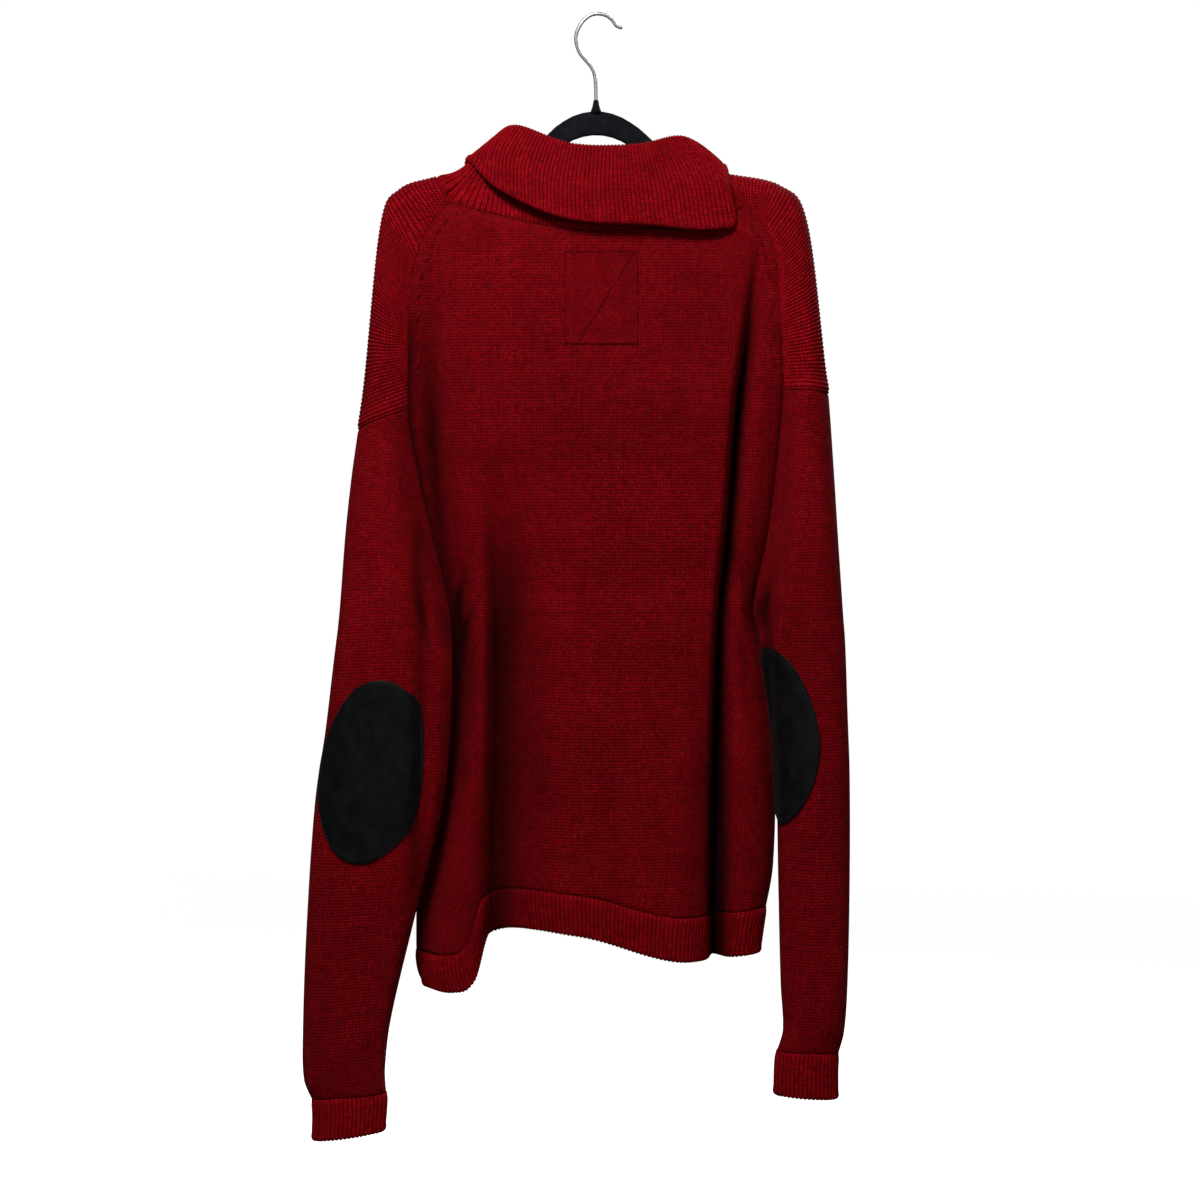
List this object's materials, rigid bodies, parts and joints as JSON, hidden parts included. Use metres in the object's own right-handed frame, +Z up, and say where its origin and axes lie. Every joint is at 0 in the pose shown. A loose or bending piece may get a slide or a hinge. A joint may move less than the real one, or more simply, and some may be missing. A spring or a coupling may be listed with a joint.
{
  "type": "wool sweater on a clothes hanger",
  "caption": "Long-sleeved wool sweater with a ribbed turned-down collar, saddle shoulders and oval elbow patches, hanging on a slim flocked hanger.",
  "frame": {"origin": "the inside top of the hanger's hook, where a rail would bear", "axes": "+Z up, +X to the right seen from the sweater's back, +Y from the back to the front"},
  "size_m": [0.4995, 0.1178, 1.0314],
  "materials": {
    "wool": "matte knitted wool",
    "suede": "matte black suede cloth",
    "flock": "black flocking",
    "chrome": "bright chrome"
  },
  "bodies": {
    "root": {"back": "wool", "hem_back": "wool", "front": "wool", "hem_front": "wool", "saddle_left": "wool", "sleeve_left": "wool", "cuff_left": "wool", "elbow_patch_left": "suede", "saddle_right": "wool", "sleeve_right": "wool", "cuff_right": "wool", "elbow_patch_right": "suede", "collar": "wool", "hanger": "flock", "hanger_hook": "chrome"}
  },
  "joints": []
}
